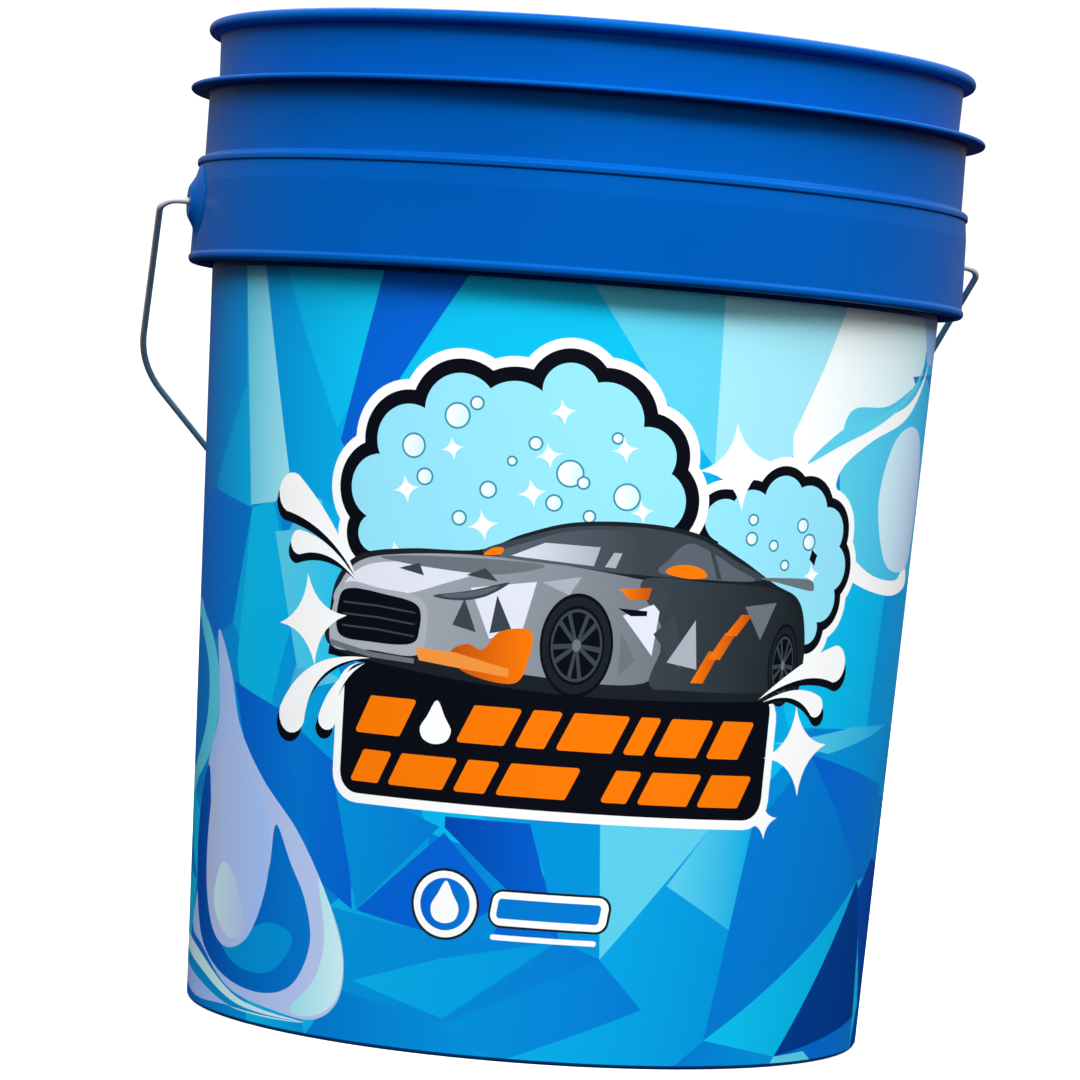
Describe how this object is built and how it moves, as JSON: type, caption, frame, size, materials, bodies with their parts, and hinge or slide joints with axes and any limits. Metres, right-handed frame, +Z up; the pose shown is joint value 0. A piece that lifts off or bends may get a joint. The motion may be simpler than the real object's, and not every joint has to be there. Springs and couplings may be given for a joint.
{
  "type": "wash bucket",
  "caption": "Tapered round plastic pail with a rounded rim, stacking flanges, a deep gusseted collar, a printed wrap film, and a wire bail with a loose grip.",
  "frame": {"origin": "centre of the foot ring, on the plane the bucket stands on", "axes": "+Z up the bucket's axis, out of the mouth; +X along the bail's pivot axis through both ears; the bail hangs towards +Y at rest, and -Y is the front of the print"},
  "size_m": [0.3334, 0.3237, 0.38],
  "materials": {
    "pail_plastic": "moulded blue polyethylene, semi-gloss",
    "print_film": "printed in-mould film, glossy",
    "galvanised_wire": "drawn and galvanised",
    "grip_plastic": "moulded black plastic, fine grain"
  },
  "bodies": {
    "bucket": {"bucket_shell": "pail_plastic", "wrap_film": "print_film"},
    "bail": {"bail_wire": "galvanised_wire"},
    "grip": {"bail_grip": "grip_plastic"}
  },
  "joints": [
    {"name": "bail_swing", "type": "hinge", "parent": "bucket", "child": "bail", "pos_m": [0, 0, 0.3092], "axis": [1, 0, 0], "range_deg": [0, 252]},
    {"name": "grip_spin", "type": "hinge", "parent": "bail", "child": "grip", "pos_m": [0, 0.15371, 0.19752], "axis": [1, 0, 0], "continuous": true}
  ]
}
